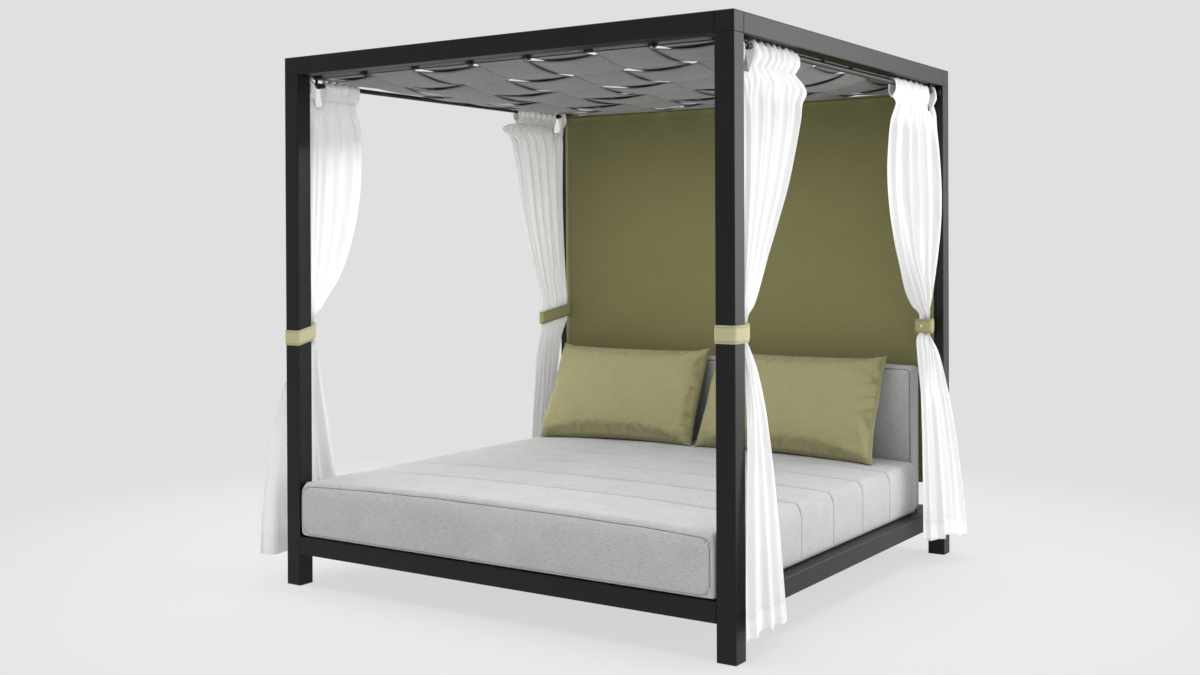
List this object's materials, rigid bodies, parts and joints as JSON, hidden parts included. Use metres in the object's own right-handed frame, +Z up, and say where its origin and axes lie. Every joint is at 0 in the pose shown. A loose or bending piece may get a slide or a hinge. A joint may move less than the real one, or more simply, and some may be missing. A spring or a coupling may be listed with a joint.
{
  "type": "outdoor daybed with canopy",
  "caption": "Square four-poster outdoor daybed with a woven strap canopy, a rear cloth panel, tied curtains, a channelled mattress, a backrest cushion and loose pillows.",
  "frame": {"origin": "on the floor, under the middle of the frame", "axes": "+X to the right seen from the foot end, +Y towards the backrest, +Z up"},
  "size_m": [2.4184, 2.1045, 2.195],
  "materials": {
    "frame_metal": "matt charcoal powder coat",
    "rod_metal": "matt black powder coat",
    "foot_plastic": "black moulded plastic",
    "canopy_weave": "grey woven outdoor webbing",
    "panel_cloth": "olive outdoor canvas",
    "cushion_cloth": "light grey melange weave",
    "pillow_cloth": "olive melange weave",
    "curtain_cloth": "white sheer cloth",
    "tie_cloth": "olive canvas with stitched edges"
  },
  "bodies": {
    "frame": {"post_front_left": "frame_metal", "foot_pad_front_left": "foot_plastic", "corner_block_front_left": "frame_metal", "post_front_right": "frame_metal", "foot_pad_front_right": "foot_plastic", "corner_block_front_right": "frame_metal", "post_back_right": "frame_metal", "foot_pad_back_right": "foot_plastic", "corner_block_back_right": "frame_metal", "post_back_left": "frame_metal", "foot_pad_back_left": "foot_plastic", "corner_block_back_left": "frame_metal", "beam_front": "frame_metal", "rail_front": "frame_metal", "canopy_rod_front": "rod_metal", "beam_back": "frame_metal", "rail_back": "frame_metal", "canopy_rod_back": "rod_metal", "beam_left": "frame_metal", "rail_left": "frame_metal", "canopy_rod_left": "rod_metal", "beam_right": "frame_metal", "rail_right": "frame_metal", "canopy_rod_right": "rod_metal", "slat_deck": "frame_metal", "cross_strap_1": "canopy_weave", "long_strap_1": "canopy_weave", "cross_strap_2": "canopy_weave", "long_strap_2": "canopy_weave", "cross_strap_3": "canopy_weave", "long_strap_3": "canopy_weave", "cross_strap_4": "canopy_weave", "long_strap_4": "canopy_weave", "cross_strap_5": "canopy_weave", "long_strap_5": "canopy_weave", "cross_strap_6": "canopy_weave", "long_strap_6": "canopy_weave", "cross_strap_7": "canopy_weave", "long_strap_7": "canopy_weave", "rear_panel": "panel_cloth", "rear_panel_rod_top": "rod_metal", "rear_panel_rod_bottom": "rod_metal", "curtain_rod_left": "rod_metal", "curtain_rod_right": "rod_metal", "curtain_hook_front_left": "rod_metal", "tie_front_left": "tie_cloth", "curtain_hook_front_right": "rod_metal", "tie_front_right": "tie_cloth", "curtain_hook_back_right": "rod_metal", "tie_back_right": "tie_cloth", "curtain_hook_back_left": "rod_metal", "tie_back_left": "tie_cloth"},
    "mattress": {"mattress": "cushion_cloth"},
    "backrest": {"backrest": "cushion_cloth"},
    "pillow_left": {"pillow_left": "pillow_cloth"},
    "pillow_right": {"pillow_right": "pillow_cloth"},
    "curtain_front_left": {"curtain_front_left": "curtain_cloth"},
    "curtain_front_right": {"curtain_front_right": "curtain_cloth"},
    "curtain_back_right": {"curtain_back_right": "curtain_cloth"},
    "curtain_back_left": {"curtain_back_left": "curtain_cloth"}
  },
  "joints": [
    {"name": "mattress_slide", "type": "slide", "parent": "frame", "child": "mattress", "axis": [0, -1, 0], "range_m": [0, 1.95]},
    {"name": "backrest_lift", "type": "slide", "parent": "frame", "child": "backrest", "axis": [0, 0, 1], "range_m": [0, 0.7]},
    {"name": "pillow_left_lift", "type": "slide", "parent": "mattress", "child": "pillow_left", "axis": [0, 0, 1], "range_m": [0, 0.5]},
    {"name": "pillow_right_lift", "type": "slide", "parent": "mattress", "child": "pillow_right", "axis": [0, 0, 1], "range_m": [0, 0.5]},
    {"name": "curtain_front_left_slide", "type": "slide", "parent": "frame", "child": "curtain_front_left", "axis": [0, 1, 0], "range_m": [0, 0.58], "deforming": ["curtain_front_left"]},
    {"name": "curtain_front_right_slide", "type": "slide", "parent": "frame", "child": "curtain_front_right", "axis": [0, 1, 0], "range_m": [0, 0.38], "deforming": ["curtain_front_right"]},
    {"name": "curtain_back_right_slide", "type": "slide", "parent": "frame", "child": "curtain_back_right", "axis": [0, -1, 0], "range_m": [0, 0.4], "deforming": ["curtain_back_right"]},
    {"name": "curtain_back_left_slide", "type": "slide", "parent": "frame", "child": "curtain_back_left", "axis": [0, -1, 0], "range_m": [0, 0.4], "deforming": ["curtain_back_left"]}
  ]
}
